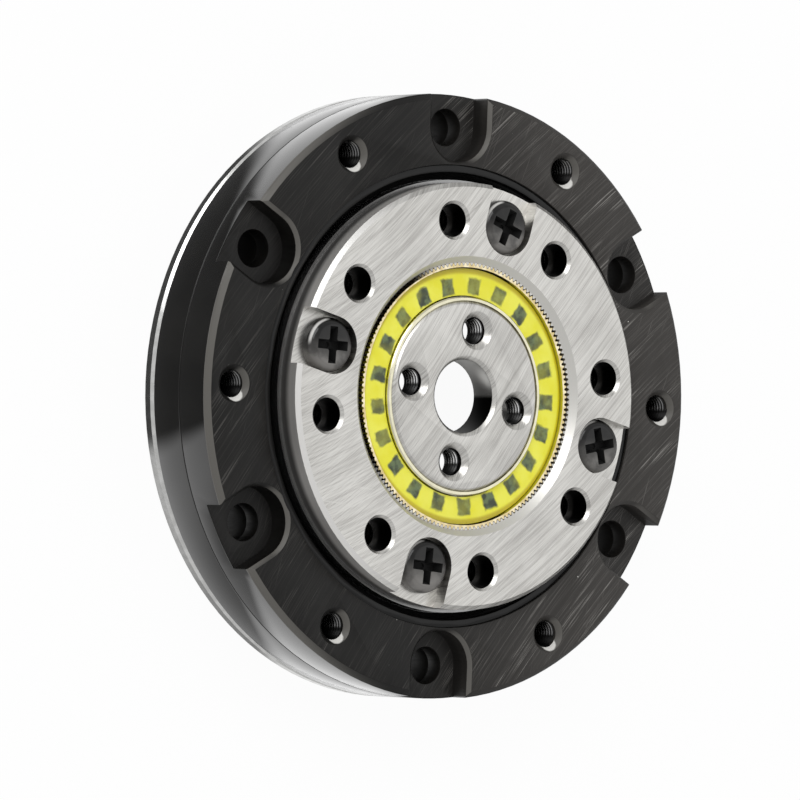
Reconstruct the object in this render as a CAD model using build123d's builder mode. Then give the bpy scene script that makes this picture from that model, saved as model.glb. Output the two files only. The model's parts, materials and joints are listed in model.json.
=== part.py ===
"""Flat hollow strain wave gear: flexspline, circular spline, wave generator and crossed roller bearing."""

from build123d import *
from math import cos, pi, sin, sqrt
import os

os.makedirs("parts", exist_ok=True)

# Gearing. Lengths are in millimetres and angles in degrees, the axis is Z, and z = 0 is the rear face.
gear_module = 0.078
flexspline_teeth = 160
circular_spline_teeth = 162
addendum_factor = 0.7
dedendum_factor = 0.9
tooth_thickness_share = 0.46
tip_thickness_share = 0.24
tooth_length = 2.25

# Heights of the faces, measured up the axis
flange_thickness = 0.85
outer_ring_rear_height = 2.0
outer_ring_front_height = 2.2
spline_above_ring = 1.35
spline_flange_thickness = 1.4
plug_below_spline = 0.25
rim_below_spline = 0.3

# Outer ring of the crossed roller bearing: its radii step outwards from the bearing's inner ring
bearing_gap = 0.14
ring_opening_step = 0.26
mounting_circle_step = 1.83
outer_edge_step = 1.59
ring_edge_chamfer = 0.27
seam_edge_break = 0.04
notch_count = 6
notch_width = 3.4
notch_depth = 1.25
notch_edge_chamfer = 0.18
clearance_hole_diameter = 1.8
tapped_hole_diameter = 1.3
tapped_hole_chamfer = 0.25

# Bearing inner ring and its crossed rollers
inner_ring_shoulder_step = 0.15
inner_ring_step = 0.33
inner_ring_rear_gap = 0.45
roller_diameter = 1.0
roller_end_clearance = 0.05
roller_count = 36
roller_play = 0.012
spacer_inset = 0.06
spacer_clearance = 0.075

# Seals and O-rings
seal_depth = 0.85
seal_setback = 0.1
seal_lip_clearance = 0.02
seal_body_width = 0.36
seal_lip_thickness = 0.22
o_ring_section = 0.34
o_ring_sides = 8
o_ring_groove_clearance = 0.03
flange_o_ring_inset = 1.46
spline_o_ring_inset = 0.425

# Circular spline: its radii step outwards from the roots of its teeth
spigot_step = 1.162
output_circle_step = 2.042
spline_edge_step = 1.77
spline_edge_chamfer = 0.2
spline_rear_chamfer = 0.1
spline_lip_chamfer = 0.3
spigot_fit = 0.01
output_hole_count = 8
output_hole_diameter = 1.6
output_hole_chamfer = 0.14
output_thread_depth = 2.6
output_angle = 8.5
screw_notch_width = 2.76
screw_notch_depth = 0.7
spline_screw_count = 4
screw_head_diameter = 2.62
screw_head_height = 0.66
screw_thread_diameter = 0.94
screw_thread_length = 2.2
screw_tip_gap = 0.2
screw_hole_clearance = 0.02
screw_head_chamfer = 0.16
recess_width = 0.34
recess_length = 1.3
recess_depth = 0.4

# Flexspline of the top-hat kind
flexspline_wall = 0.085
flange_front_chamfer = 0.3
flange_rear_chamfer = 0.15
flange_inner_step = 0.18
diaphragm_thickness = 0.12
diaphragm_setback = 0.35
barrel_fillet = 0.3
barrel_clearance = 0.7

# Wave bearing between plug and flexspline
outer_race_thickness = 0.2
inner_race_thickness = 0.19
race_groove_depth = 0.05
race_groove_width = 0.6
race_edge_chamfer = 0.06
race_width = 1.4
race_below_plug = 0.06
wave_ball_diameter = 1.1
wave_ball_count = 21
wave_ball_angle = 3.6
wave_ball_play = 0.02
wave_ball_depth = 1.5
cage_below_plug = 0.25
cage_flange_thickness = 0.25
cage_clearance = 0.05
cage_pocket_clearance = 0.05
cage_body_margin = 0.1

# Wave generator plug
plug_bore_diameter = 3.5
plug_bore_chamfer = 0.17
plug_edge_chamfer = 0.16
plug_web_thickness = 1.6
plug_rim_width = 0.5
plug_hole_circle_diameter = 6.41
plug_hole_count = 4
plug_hole_diameter = 1.3
plug_hole_chamfer = 0.27
plug_angle = -10.0

# Screws and dowels that join flange and outer ring halves from the rear
flange_screw_count = 6
flange_screw_angle = 15.0
flange_screw_thread = 0.94
flange_screw_head = 2.0
flange_screw_length = 4.2
flange_recess_length = 0.9
flange_recess_width = 0.26
flange_recess_depth = 0.3
countersink_angle = 90
dowel_count = 2
dowel_angle = 45.0
dowel_diameter = 0.8
dowel_length = 2.6
dowel_fit = 0.01

# Worked out from the sizes above
wave_height = gear_module * (circular_spline_teeth - flexspline_teeth) / 2
addendum = addendum_factor * gear_module
dedendum = dedendum_factor * gear_module
flexspline_pitch_radius = gear_module * flexspline_teeth / 2
spline_pitch_radius = gear_module * circular_spline_teeth / 2
flexspline_root_radius = flexspline_pitch_radius - dedendum
flexspline_inner_radius = flexspline_root_radius - flexspline_wall
spline_root_radius = spline_pitch_radius + dedendum
outer_race_inner_radius = flexspline_inner_radius - outer_race_thickness
wave_ball_radius = wave_ball_diameter / 2
wave_ball_circle = (
    outer_race_inner_radius + race_groove_depth - wave_height - wave_ball_play - wave_ball_radius
)
inner_race_groove_radius = wave_ball_circle - wave_ball_radius - wave_ball_play - wave_height
inner_race_radius = inner_race_groove_radius + race_groove_depth
plug_radius = inner_race_radius - inner_race_thickness

spigot_radius = spline_root_radius + spigot_step
output_radius = spline_root_radius + output_circle_step
spline_radius = output_radius + spline_edge_step
shoulder_radius = spline_radius + inner_ring_shoulder_step
inner_ring_radius = shoulder_radius + inner_ring_step
ring_bore_radius = inner_ring_radius + bearing_gap
ring_opening_radius = ring_bore_radius + ring_opening_step
mounting_radius = ring_opening_radius + mounting_circle_step
outer_radius = mounting_radius + outer_edge_step
flange_inner_radius = ring_opening_radius - flange_inner_step
flange_o_ring_radius = mounting_radius - flange_o_ring_inset
spline_o_ring_radius = spline_radius - spline_o_ring_inset
roller_circle = (inner_ring_radius + ring_bore_radius) / 2
roller_length = roller_diameter - roller_end_clearance
spacer_size = roller_diameter - 2 * spacer_inset
spacer_thickness = 2 * pi * roller_circle / roller_count - roller_diameter - 2 * spacer_clearance

ring_rear_z = flange_thickness
seam_z = ring_rear_z + outer_ring_rear_height
ring_face_z = seam_z + outer_ring_front_height
spline_face_z = ring_face_z + spline_above_ring
inner_ring_face_z = spline_face_z - spline_flange_thickness
inner_ring_rear_z = ring_rear_z + inner_ring_rear_gap
plug_face_z = spline_face_z - plug_below_spline
rim_z = spline_face_z - rim_below_spline
tooth_start_z = rim_z - tooth_length
race_face_z = plug_face_z - race_below_plug
wave_ball_z = rim_z - wave_ball_depth
cage_face_z = plug_face_z - cage_below_plug
diaphragm_z = diaphragm_setback
barrel_start_z = diaphragm_z + diaphragm_thickness + barrel_fillet
groove_reach = (roller_diameter / 2 + roller_play) * sqrt(2)
barrel_bore_radius = flexspline_root_radius + barrel_clearance
inner_groove_half_width = groove_reach - roller_circle + inner_ring_radius
outer_groove_half_width = groove_reach + roller_circle - ring_bore_radius
seal_shelf = ring_face_z - seal_depth
race_rear_z = wave_ball_z - race_width / 2
screw_angle = output_angle + 1.5 * 360 / output_hole_count
screw_length = spline_flange_thickness - screw_notch_depth + screw_thread_length
screw_depth_in_ring = screw_thread_length + screw_tip_gap


def wave_ellipse(radius, mode=Mode.ADD):
    """Ellipse that a round of this radius is pressed into by the wave generator, long along X."""
    return Ellipse(radius + wave_height, radius - wave_height, mode=mode)


def tooth_shares():
    """Where a tooth's four corners lie along one pitch, with the tooth centred on zero."""
    flare = (tooth_thickness_share - tip_thickness_share) / 2 / addendum
    foot = tip_thickness_share / 2 + flare * (addendum + dedendum)
    return (-foot, -tip_thickness_share / 2, tip_thickness_share / 2, foot)


def flexspline_outline():
    """Corners of the external teeth, moved out and along the rim as the wave bends it."""
    points = []
    for tooth in range(flexspline_teeth):
        for corner, share in enumerate(tooth_shares()):
            turn = 2 * pi * (tooth + share) / flexspline_teeth
            height = addendum if corner in (1, 2) else -dedendum
            radius = flexspline_pitch_radius + wave_height * cos(2 * turn) + height
            slip = wave_height / 2 * sin(2 * turn) / flexspline_pitch_radius
            points.append((radius * cos(turn - slip), radius * sin(turn - slip)))
    return points


def spline_outline():
    """Corners of the internal teeth, with a tooth space at zero to take a flexspline tooth."""
    points = []
    for tooth in range(circular_spline_teeth):
        for corner, share in enumerate(tooth_shares()):
            turn = 2 * pi * (tooth + 0.5 + share) / circular_spline_teeth
            height = -addendum if corner in (1, 2) else dedendum
            radius = spline_pitch_radius + height
            points.append((radius * cos(turn), radius * sin(turn)))
    return points


def seal_profile(direction, face_z):
    """Section of a lip seal, drawn from its outer face towards the middle of the bearing."""
    outer = ring_opening_radius
    inner = outer - seal_body_width
    lip = shoulder_radius + seal_lip_clearance
    back_z = face_z - direction * (seal_depth - seal_setback)
    root_z = back_z + direction * seal_lip_thickness
    return [
        (outer, face_z),
        (inner, face_z),
        (inner, root_z + direction * seal_lip_thickness),
        (lip, root_z),
        (lip, back_z),
        (outer, back_z),
    ]


# Front half of the outer ring, with the open counterbored notches and the tapped holes
with BuildPart() as outer_ring_front:
    with BuildSketch(Plane.XZ):
        with BuildLine():
            Polyline(
                (ring_opening_radius, ring_face_z),
                (outer_radius - ring_edge_chamfer, ring_face_z),
                (outer_radius, ring_face_z - ring_edge_chamfer),
                (outer_radius, seam_z + seam_edge_break),
                (outer_radius - seam_edge_break, seam_z),
                (roller_circle + groove_reach, seam_z),
                (ring_bore_radius, seam_z + outer_groove_half_width),
                (ring_bore_radius, seal_shelf),
                (ring_opening_radius, seal_shelf),
                close=True,
            )
        make_face()
    revolve(axis=Axis.Z)
    with BuildSketch(Plane.XY.offset(ring_face_z)):
        with PolarLocations(mounting_radius, notch_count):
            SlotCenterPoint((notch_width, 0), (0, 0), notch_width)
    extrude(amount=-notch_depth, mode=Mode.SUBTRACT)
    with BuildSketch(Plane.XY.offset(ring_face_z)):
        with PolarLocations(mounting_radius, notch_count):
            SlotCenterPoint((notch_width, 0), (0, 0), notch_width + 2 * notch_edge_chamfer)
    extrude(amount=-notch_edge_chamfer, taper=45, mode=Mode.SUBTRACT)
    with Locations(Plane.XY.offset(ring_face_z - notch_depth)):
        with PolarLocations(mounting_radius, notch_count):
            Hole(clearance_hole_diameter / 2)
    with Locations(Plane.XY.offset(ring_face_z)):
        with PolarLocations(mounting_radius, notch_count, start_angle=180 / notch_count):
            CounterSinkHole(
                tapped_hole_diameter / 2,
                tapped_hole_diameter / 2 + tapped_hole_chamfer,
                counter_sink_angle=countersink_angle,
            )
    with Locations(Plane.XY.offset(seam_z)):
        with PolarLocations(mounting_radius, flange_screw_count, start_angle=flange_screw_angle):
            Cylinder(
                flange_screw_thread / 2,
                flange_screw_length - seam_z,
                align=(Align.CENTER, Align.CENTER, Align.MIN),
                mode=Mode.SUBTRACT,
            )
        with PolarLocations(mounting_radius, dowel_count, start_angle=dowel_angle):
            Cylinder(
                dowel_diameter / 2 + dowel_fit,
                dowel_length / 2 + dowel_fit,
                align=(Align.CENTER, Align.CENTER, Align.MIN),
                mode=Mode.SUBTRACT,
            )
outer_ring_front.part.label = "outer_ring_front"
export_step(outer_ring_front.part, "parts/outer_ring_front.step")

# Rear half of the outer ring
with BuildPart() as outer_ring_rear:
    with BuildSketch(Plane.XZ):
        with BuildLine():
            Polyline(
                (ring_opening_radius, ring_rear_z),
                (outer_radius, ring_rear_z),
                (outer_radius, seam_z - seam_edge_break),
                (outer_radius - seam_edge_break, seam_z),
                (roller_circle + groove_reach, seam_z),
                (ring_bore_radius, seam_z - outer_groove_half_width),
                (ring_bore_radius, ring_rear_z + seal_depth),
                (ring_opening_radius, ring_rear_z + seal_depth),
                close=True,
            )
        make_face()
    revolve(axis=Axis.Z)
    with Locations(Plane.XY.offset(seam_z)):
        with PolarLocations(mounting_radius, notch_count):
            Hole(clearance_hole_diameter / 2)
        with PolarLocations(mounting_radius, notch_count, start_angle=180 / notch_count):
            Hole(tapped_hole_diameter / 2)
        with PolarLocations(mounting_radius, flange_screw_count, start_angle=flange_screw_angle):
            Hole(flange_screw_thread / 2)
        with PolarLocations(mounting_radius, dowel_count, start_angle=dowel_angle):
            Cylinder(
                dowel_diameter / 2 + dowel_fit,
                dowel_length / 2 + dowel_fit,
                align=(Align.CENTER, Align.CENTER, Align.MAX),
                mode=Mode.SUBTRACT,
            )
outer_ring_rear.part.label = "outer_ring_rear"
export_step(outer_ring_rear.part, "parts/outer_ring_rear.step")

# Hollow of the flexspline, round at the diaphragm and oval along the teeth
with BuildPart() as barrel_hollow:
    with BuildSketch(Plane.XY):
        Circle(flexspline_inner_radius)
    extrude(amount=barrel_start_z)
    with BuildSketch(Plane.XY.offset(barrel_start_z)):
        Circle(flexspline_inner_radius)
    with BuildSketch(Plane.XY.offset(tooth_start_z)):
        wave_ellipse(flexspline_inner_radius)
    loft()
    with BuildSketch(Plane.XY.offset(tooth_start_z)):
        wave_ellipse(flexspline_inner_radius)
    extrude(amount=spline_face_z - tooth_start_z)

# Flexspline: clamped flange, thin diaphragm, barrel that turns from round to oval, and toothed rim
with BuildPart() as flexspline:
    with BuildSketch(Plane.XZ):
        with BuildLine():
            Polyline(
                (flexspline_pitch_radius / 2, diaphragm_z),
                (flange_inner_radius, diaphragm_z),
                (flange_inner_radius, 0),
                (outer_radius - flange_rear_chamfer, 0),
                (outer_radius, flange_rear_chamfer),
                (outer_radius, flange_thickness - flange_front_chamfer),
                (outer_radius - flange_front_chamfer, flange_thickness),
                (flange_inner_radius, flange_thickness),
                (flange_inner_radius, diaphragm_z + diaphragm_thickness),
                (flexspline_root_radius + barrel_fillet, diaphragm_z + diaphragm_thickness),
                (flexspline_root_radius, barrel_start_z),
                (flexspline_pitch_radius / 2, barrel_start_z),
                close=True,
            )
        make_face()
    revolve(axis=Axis.Z)
    with BuildSketch(Plane.XY.offset(barrel_start_z)):
        Circle(flexspline_root_radius)
    with BuildSketch(Plane.XY.offset(tooth_start_z)):
        wave_ellipse(flexspline_root_radius)
    loft()
    with BuildSketch(Plane.XY.offset(tooth_start_z)):
        with BuildLine():
            Polyline(*flexspline_outline(), close=True)
        make_face()
    extrude(amount=tooth_length)
    add(barrel_hollow.part, mode=Mode.SUBTRACT)
    with BuildSketch(Plane.XY):
        Circle(flange_o_ring_radius + o_ring_section / 2 + o_ring_groove_clearance)
        Circle(flange_o_ring_radius - o_ring_section / 2 - o_ring_groove_clearance, mode=Mode.SUBTRACT)
    extrude(amount=o_ring_section + o_ring_groove_clearance, mode=Mode.SUBTRACT)
    with Locations(Plane.XY):
        with PolarLocations(mounting_radius, notch_count):
            Hole(clearance_hole_diameter / 2)
        with PolarLocations(mounting_radius, notch_count, start_angle=180 / notch_count):
            Hole(tapped_hole_diameter / 2)
    with Locations(Plane.XY.rotated((180, 0, 0))):
        with PolarLocations(mounting_radius, flange_screw_count, start_angle=-flange_screw_angle):
            CounterSinkHole(
                flange_screw_thread / 2, flange_screw_head / 2, counter_sink_angle=countersink_angle
            )
flexspline.part.label = "flexspline"
export_step(flexspline.part, "parts/flexspline.step")

# Circular spline: bright front ring with internal teeth and a spigot in the bearing inner ring
with BuildPart() as circular_spline:
    with BuildSketch(Plane.XZ):
        with BuildLine():
            Polyline(
                (flexspline_pitch_radius / 2, tooth_start_z),
                (spigot_radius, tooth_start_z),
                (spigot_radius, inner_ring_face_z),
                (spline_radius - spline_rear_chamfer, inner_ring_face_z),
                (spline_radius, inner_ring_face_z + spline_rear_chamfer),
                (spline_radius, spline_face_z - spline_edge_chamfer),
                (spline_radius - spline_edge_chamfer, spline_face_z),
                (spline_root_radius + spline_lip_chamfer, spline_face_z),
                (spline_root_radius, spline_face_z - spline_lip_chamfer),
                (flexspline_pitch_radius / 2, spline_face_z - spline_lip_chamfer),
                close=True,
            )
        make_face()
    revolve(axis=Axis.Z)
    with BuildSketch(Plane.XY.offset(tooth_start_z)):
        with BuildLine():
            Polyline(*spline_outline(), close=True)
        make_face()
    extrude(amount=spline_face_z - tooth_start_z, mode=Mode.SUBTRACT)
    with Locations(Plane.XY.offset(spline_face_z)):
        with PolarLocations(output_radius, output_hole_count, start_angle=output_angle):
            CounterSinkHole(
                output_hole_diameter / 2,
                output_hole_diameter / 2 + output_hole_chamfer,
                counter_sink_angle=countersink_angle,
            )
    with BuildSketch(Plane.XY.offset(spline_face_z)):
        with PolarLocations(output_radius, spline_screw_count, start_angle=screw_angle):
            SlotCenterPoint((screw_notch_width, 0), (0, 0), screw_notch_width)
    extrude(amount=-screw_notch_depth, mode=Mode.SUBTRACT)
    with Locations(Plane.XY.offset(spline_face_z - screw_notch_depth)):
        with PolarLocations(output_radius, spline_screw_count, start_angle=screw_angle):
            Hole(screw_thread_diameter / 2 + screw_hole_clearance)
circular_spline.part.label = "circular_spline"
export_step(circular_spline.part, "parts/circular_spline.step")

# Inner ring of the crossed roller bearing, with threads for the output holes and the spline screws
with BuildPart() as bearing_inner_ring:
    with BuildSketch(Plane.XZ):
        with BuildLine():
            Polyline(
                (barrel_bore_radius, inner_ring_rear_z),
                (shoulder_radius, inner_ring_rear_z),
                (shoulder_radius, ring_rear_z + seal_depth),
                (inner_ring_radius, ring_rear_z + seal_depth),
                (inner_ring_radius, seam_z - inner_groove_half_width),
                (roller_circle - groove_reach, seam_z),
                (inner_ring_radius, seam_z + inner_groove_half_width),
                (inner_ring_radius, seal_shelf),
                (shoulder_radius, seal_shelf),
                (shoulder_radius, inner_ring_face_z),
                (spigot_radius + spigot_fit, inner_ring_face_z),
                (spigot_radius + spigot_fit, tooth_start_z - spigot_fit),
                (barrel_bore_radius, tooth_start_z - spigot_fit),
                close=True,
            )
        make_face()
    revolve(axis=Axis.Z)
    with Locations(Plane.XY.offset(inner_ring_face_z)):
        with PolarLocations(output_radius, output_hole_count, start_angle=output_angle):
            Hole(tapped_hole_diameter / 2, depth=output_thread_depth)
        with PolarLocations(output_radius, spline_screw_count, start_angle=screw_angle):
            Hole(screw_thread_diameter / 2 + screw_hole_clearance, depth=screw_depth_in_ring)
    with BuildSketch(Plane.XY.offset(inner_ring_face_z)):
        Circle(spline_o_ring_radius + o_ring_section / 2 + o_ring_groove_clearance)
        Circle(spline_o_ring_radius - o_ring_section / 2 - o_ring_groove_clearance, mode=Mode.SUBTRACT)
    extrude(amount=-o_ring_section - o_ring_groove_clearance, mode=Mode.SUBTRACT)
bearing_inner_ring.part.label = "bearing_inner_ring"
export_step(bearing_inner_ring.part, "parts/bearing_inner_ring.step")

# Pan-head screws that hold the circular spline, each with a cross recess
with BuildPart() as spline_screws:
    with Locations(Plane.XY.offset(spline_face_z - screw_notch_depth)):
        with PolarLocations(output_radius, spline_screw_count, start_angle=screw_angle):
            Cylinder(
                screw_head_diameter / 2, screw_head_height, align=(Align.CENTER, Align.CENTER, Align.MIN)
            )
            Cylinder(
                screw_thread_diameter / 2, screw_length, align=(Align.CENTER, Align.CENTER, Align.MAX)
            )
    screw_rims = spline_screws.edges().filter_by(GeomType.CIRCLE).group_by(Axis.Z)[-1]
    chamfer(screw_rims, length=screw_head_chamfer)
    with BuildSketch(Plane.XY.offset(spline_face_z - screw_notch_depth + screw_head_height)):
        with PolarLocations(output_radius, spline_screw_count, start_angle=screw_angle):
            Rectangle(recess_length, recess_width)
            Rectangle(recess_width, recess_length)
    extrude(amount=-recess_depth, mode=Mode.SUBTRACT)
spline_screws.part.label = "spline_screws"
export_step(spline_screws.part, "parts/spline_screws.step")

# Crossed rollers, each set tilted the other way, with spacers between them
for roller_set, tilt in (("rollers_leaning_out", 45), ("rollers_leaning_in", -45)):
    first_angle = 0 if tilt > 0 else 360 / roller_count
    with BuildPart() as rollers:
        with Locations(Plane.XY.offset(seam_z)):
            with PolarLocations(roller_circle, roller_count // 2, start_angle=first_angle):
                Cylinder(roller_diameter / 2, roller_length, rotation=(0, tilt, 0))
    rollers.part.label = roller_set
    export_step(rollers.part, f"parts/{roller_set}.step")

with BuildPart() as roller_spacers:
    with Locations(Plane.XY.offset(seam_z)):
        with PolarLocations(roller_circle, roller_count, start_angle=180 / roller_count):
            Box(spacer_size, spacer_thickness, spacer_size, rotation=(0, 45, 0))
roller_spacers.part.label = "roller_spacers"
export_step(roller_spacers.part, "parts/roller_spacers.step")

# Lip seals at both ends of the crossed roller bearing
for seal_name, direction, face_z in (
    ("front_seal", 1, ring_face_z - seal_setback),
    ("rear_seal", -1, ring_rear_z + seal_setback),
):
    with BuildPart() as seal:
        with BuildSketch(Plane.XZ):
            with BuildLine():
                Polyline(*seal_profile(direction, face_z), close=True)
            make_face()
        revolve(axis=Axis.Z)
    seal.part.label = seal_name
    export_step(seal.part, f"parts/{seal_name}.step")

# O-rings in the flange's rear face and under the circular spline
for ring_name, ring_radius, ring_z in (
    ("flange_o_ring", flange_o_ring_radius, o_ring_section / 2),
    ("spline_o_ring", spline_o_ring_radius, inner_ring_face_z - o_ring_section / 2),
):
    with BuildPart() as o_ring:
        with BuildSketch(Plane.XZ):
            with Locations((ring_radius, ring_z)):
                RegularPolygon(o_ring_section / 2, o_ring_sides, rotation=180 / o_ring_sides)
        revolve(axis=Axis.Z)
    o_ring.part.label = ring_name
    export_step(o_ring.part, f"parts/{ring_name}.step")

# Countersunk screws from the rear, through the flange and both halves of the outer ring
with BuildPart() as flange_screws:
    with Locations(Plane.XY):
        with PolarLocations(mounting_radius, flange_screw_count, start_angle=flange_screw_angle):
            Cone(
                flange_screw_head / 2,
                flange_screw_thread / 2,
                (flange_screw_head - flange_screw_thread) / 2,
                align=(Align.CENTER, Align.CENTER, Align.MIN),
            )
            Cylinder(
                flange_screw_thread / 2,
                flange_screw_length - screw_hole_clearance,
                align=(Align.CENTER, Align.CENTER, Align.MIN),
            )
    with Locations(Plane.XY):
        with PolarLocations(mounting_radius, flange_screw_count, start_angle=flange_screw_angle):
            Box(flange_recess_width, flange_recess_length, 2 * flange_recess_depth, mode=Mode.SUBTRACT)
            Box(flange_recess_length, flange_recess_width, 2 * flange_recess_depth, mode=Mode.SUBTRACT)
flange_screws.part.label = "flange_screws"
export_step(flange_screws.part, "parts/flange_screws.step")

# Dowels that line up the two halves of the outer ring
with BuildPart() as ring_dowels:
    with Locations(Plane.XY.offset(seam_z)):
        with PolarLocations(mounting_radius, dowel_count, start_angle=dowel_angle):
            Cylinder(dowel_diameter / 2, dowel_length)
ring_dowels.part.label = "ring_dowels"
export_step(ring_dowels.part, "parts/ring_dowels.step")

# Wave generator plug: oval rim, thin web, bore and tapped holes for the driving shaft
with BuildPart() as wave_generator_plug:
    with BuildSketch(Plane.XY.offset(race_rear_z)):
        wave_ellipse(plug_radius)
    extrude(amount=plug_face_z - race_rear_z)
    plug_rim = wave_generator_plug.faces().sort_by(Axis.Z)[-1].edges()
    chamfer(plug_rim, length=plug_edge_chamfer)
    with BuildSketch(Plane.XY.offset(race_rear_z)):
        Circle(plug_radius - wave_height - plug_rim_width)
    extrude(amount=plug_face_z - plug_web_thickness - race_rear_z, mode=Mode.SUBTRACT)
    with Locations(Plane.XY.offset(plug_face_z)):
        CounterSinkHole(
            plug_bore_diameter / 2,
            plug_bore_diameter / 2 + plug_bore_chamfer,
            counter_sink_angle=countersink_angle,
        )
        with PolarLocations(plug_hole_circle_diameter / 2, plug_hole_count, start_angle=plug_angle):
            CounterSinkHole(
                plug_hole_diameter / 2,
                plug_hole_diameter / 2 + plug_hole_chamfer,
                counter_sink_angle=countersink_angle,
            )
wave_generator_plug.part.label = "wave_generator_plug"
export_step(wave_generator_plug.part, "parts/wave_generator_plug.step")

# Races of the wave bearing, pressed oval, each with a shallow track for the balls
with BuildPart() as wave_bearing_inner_race:
    with BuildSketch(Plane.XY.offset(race_rear_z)):
        wave_ellipse(inner_race_radius)
        wave_ellipse(plug_radius, mode=Mode.SUBTRACT)
    extrude(amount=race_face_z - race_rear_z)
    race_rim = wave_bearing_inner_race.faces().sort_by(Axis.Z)[-1].outer_wire().edges()
    chamfer(race_rim, length=race_edge_chamfer)
    with BuildSketch(Plane.XY.offset(wave_ball_z - race_groove_width / 2)):
        wave_ellipse(outer_race_inner_radius)
        wave_ellipse(inner_race_groove_radius, mode=Mode.SUBTRACT)
    extrude(amount=race_groove_width, mode=Mode.SUBTRACT)
wave_bearing_inner_race.part.label = "wave_bearing_inner_race"
export_step(wave_bearing_inner_race.part, "parts/wave_bearing_inner_race.step")

with BuildPart() as wave_bearing_outer_race:
    with BuildSketch(Plane.XY.offset(race_rear_z)):
        wave_ellipse(flexspline_inner_radius)
        wave_ellipse(outer_race_inner_radius, mode=Mode.SUBTRACT)
    extrude(amount=race_width)
    with BuildSketch(Plane.XY.offset(wave_ball_z - race_groove_width / 2)):
        wave_ellipse(outer_race_inner_radius + race_groove_depth)
    extrude(amount=race_groove_width, mode=Mode.SUBTRACT)
wave_bearing_outer_race.part.label = "wave_bearing_outer_race"
export_step(wave_bearing_outer_race.part, "parts/wave_bearing_outer_race.step")

# Balls of the wave bearing, on a round path that clears the oval races all the way round
with BuildPart() as wave_balls:
    with Locations(Plane.XY.offset(wave_ball_z)):
        with PolarLocations(wave_ball_circle, wave_ball_count, start_angle=wave_ball_angle):
            Sphere(wave_ball_radius)
wave_balls.part.label = "wave_balls"
export_step(wave_balls.part, "parts/wave_balls.step")

# Elastic crown cage: an oval front ring, and claws behind it with a pocket for each ball
with BuildPart() as ball_cage:
    with BuildSketch(Plane.XY.offset(cage_face_z)):
        wave_ellipse(outer_race_inner_radius - cage_body_margin)
        wave_ellipse(inner_race_radius + cage_clearance, mode=Mode.SUBTRACT)
    extrude(amount=wave_ball_z - cage_face_z)
    with BuildSketch(Plane.XY.offset(cage_face_z)):
        wave_ellipse(flexspline_inner_radius - cage_clearance)
        wave_ellipse(inner_race_radius + cage_clearance, mode=Mode.SUBTRACT)
    extrude(amount=-cage_flange_thickness)
    with Locations(Plane.XY.offset(wave_ball_z)):
        with PolarLocations(wave_ball_circle, wave_ball_count, start_angle=wave_ball_angle):
            Cylinder(
                wave_ball_radius + cage_pocket_clearance,
                wave_ball_diameter + 4 * wave_height + 4 * cage_clearance,
                rotation=(0, 90, 0),
                mode=Mode.SUBTRACT,
            )
ball_cage.part.label = "ball_cage"
export_step(ball_cage.part, "parts/ball_cage.step")
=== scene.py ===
import json
import math

import bpy
from mathutils import Matrix, Vector

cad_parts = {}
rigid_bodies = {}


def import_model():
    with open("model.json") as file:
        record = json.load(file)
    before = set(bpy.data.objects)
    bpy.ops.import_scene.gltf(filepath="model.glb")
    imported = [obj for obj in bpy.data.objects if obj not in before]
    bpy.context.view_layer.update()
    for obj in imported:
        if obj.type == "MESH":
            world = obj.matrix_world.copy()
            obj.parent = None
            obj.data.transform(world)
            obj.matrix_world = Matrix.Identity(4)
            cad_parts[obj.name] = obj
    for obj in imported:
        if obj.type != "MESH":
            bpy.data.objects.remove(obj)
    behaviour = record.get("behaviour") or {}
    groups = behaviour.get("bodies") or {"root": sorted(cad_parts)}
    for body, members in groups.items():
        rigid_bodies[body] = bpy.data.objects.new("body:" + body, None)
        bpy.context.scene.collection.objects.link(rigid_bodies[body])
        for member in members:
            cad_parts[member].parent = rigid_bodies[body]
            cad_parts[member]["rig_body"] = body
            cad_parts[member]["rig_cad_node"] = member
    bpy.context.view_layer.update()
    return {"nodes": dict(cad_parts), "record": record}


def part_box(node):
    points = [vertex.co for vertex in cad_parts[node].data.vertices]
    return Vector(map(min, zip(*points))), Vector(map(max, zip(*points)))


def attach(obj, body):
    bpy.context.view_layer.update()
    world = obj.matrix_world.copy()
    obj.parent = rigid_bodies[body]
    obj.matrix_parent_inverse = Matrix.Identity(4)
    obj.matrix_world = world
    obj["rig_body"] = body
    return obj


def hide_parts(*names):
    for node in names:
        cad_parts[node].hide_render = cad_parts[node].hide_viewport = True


mm = 0.001

# Heights and radii come from the frame's nodes, so the looks follow the model
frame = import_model()
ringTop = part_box("outer_ring_front")[1]
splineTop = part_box("circular_spline")[1]
faceZ = ringTop.z
outerRadius = ringTop.x

view = {
    "photoTurn": 92.67,
    "sideAngle": 37.96,
    "distance": 380.5 * mm,
    "lens": 358.0,
    "centreX": 451.3,
    "centreY": 396.2,
    "imageSize": 800,
    "clipStart": 0.01,
}

turn = math.radians(view["photoTurn"])
photoRight = Vector((math.cos(turn), math.sin(turn), 0))
photoUp = Vector((-math.sin(turn), math.cos(turn), 0))
photoOut = Vector((0, 0, 1))


# A direction in the photograph: how far to the right, up and out to the viewer
def towards(right, up, out):
    return (photoRight * right + photoUp * up + photoOut * out).normalized()


# Holes spaced evenly on circles: their number, the angle of the first and the circle's radius
holeSets = {
    "ring": {"count": 6, "first": 30.0, "circle": 12.91 * mm},
    "output": {"count": 8, "first": 8.5, "circle": 8.43 * mm},
    "plug": {"count": 4, "first": -10.0, "circle": 3.205 * mm},
    "screws": {"count": 4, "first": 76.0, "circle": 8.43 * mm},
}
# A range is what a ramp takes: low, high and, where it isn't 0 and 1, what it gives at each
slopeRanges = {
    "wall": (0.4, 0.6, 1.0, 0.0),
    "level": (0.95, 0.99),
}
strokeNoise = {
    "heightShare": 0.05,
    "roughness": 0.65,
}


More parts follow.
